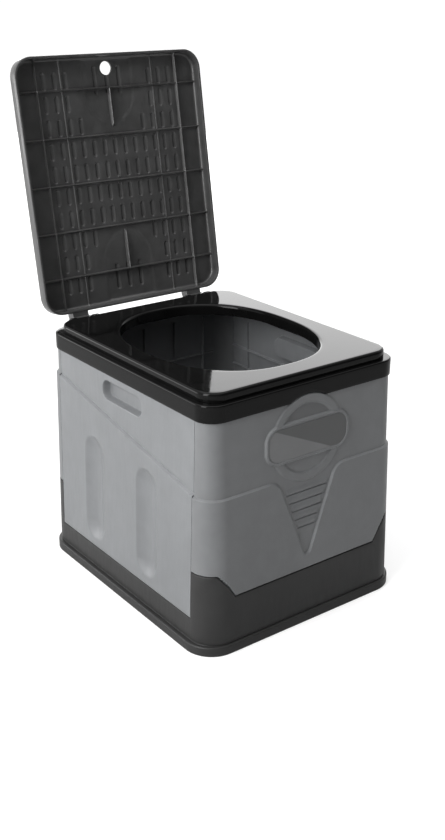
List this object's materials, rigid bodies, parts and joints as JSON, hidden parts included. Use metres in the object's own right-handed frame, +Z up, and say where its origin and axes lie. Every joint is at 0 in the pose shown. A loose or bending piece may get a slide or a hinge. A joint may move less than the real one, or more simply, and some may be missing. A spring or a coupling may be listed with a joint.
{
  "type": "portable camp toilet",
  "caption": "Folding box-shaped camp toilet with a black base tray, grey walls that fold inwards, a glossy oval seat and a hinged lid.",
  "frame": {"origin": "on the ground at the middle of the underside of the base", "axes": "+Z up; the decorated front faces -Y; +X to the right of someone facing the front; the lid hinge runs along X at the back (+Y)"},
  "size_m": [0.302, 0.4202, 0.6192],
  "materials": {
    "base_black": "fine moulded texture",
    "shell_grey": "fine moulded texture",
    "panel_grey": "fine moulded texture",
    "gloss_black": "high gloss",
    "lid_black": "satin",
    "inlay_grey": "smooth semi-gloss",
    "rod_steel": "drawn wire",
    "spring_steel": "rolled strip",
    "foot_rubber": "matt"
  },
  "bodies": {
    "base": {"base_tray": "base_black", "feet": "foot_rubber", "front_shell": "shell_grey", "back_shell": "shell_grey", "front_shell_rod": "rod_steel", "back_shell_rod": "rod_steel", "front_inlay": "inlay_grey", "left_panel_rod": "rod_steel", "right_panel_rod": "rod_steel", "rim_frame": "gloss_black", "left_panel_spring": "spring_steel", "right_panel_spring": "spring_steel", "rim_clips": "spring_steel", "rivets": "rod_steel"},
    "left_panel": {"left_side_panel": "panel_grey"},
    "right_panel": {"right_side_panel": "panel_grey"},
    "seat": {"seat_plate": "gloss_black", "seat_pads": "foot_rubber", "lid_hinge_pins": "rod_steel"},
    "lid": {"lid": "lid_black"}
  },
  "joints": [
    {"name": "lid_hinge", "type": "hinge", "parent": "seat", "child": "lid", "pos_m": [0, 0.1648, 0.3027], "axis": [1, 0, 0], "range_deg": [0, 99.17]},
    {"name": "seat_lift", "type": "slide", "parent": "base", "child": "seat", "axis": [0, 0, 1], "range_m": [0, 0.06]},
    {"name": "left_panel_fold", "type": "hinge", "parent": "base", "child": "left_panel", "pos_m": [-0.1376, 0, 0.038], "axis": [0, 1, 0], "range_deg": [0, 90]},
    {"name": "right_panel_fold", "type": "hinge", "parent": "base", "child": "right_panel", "pos_m": [0.1376, 0, 0.038], "axis": [0, -1, 0], "range_deg": [0, 82]}
  ]
}
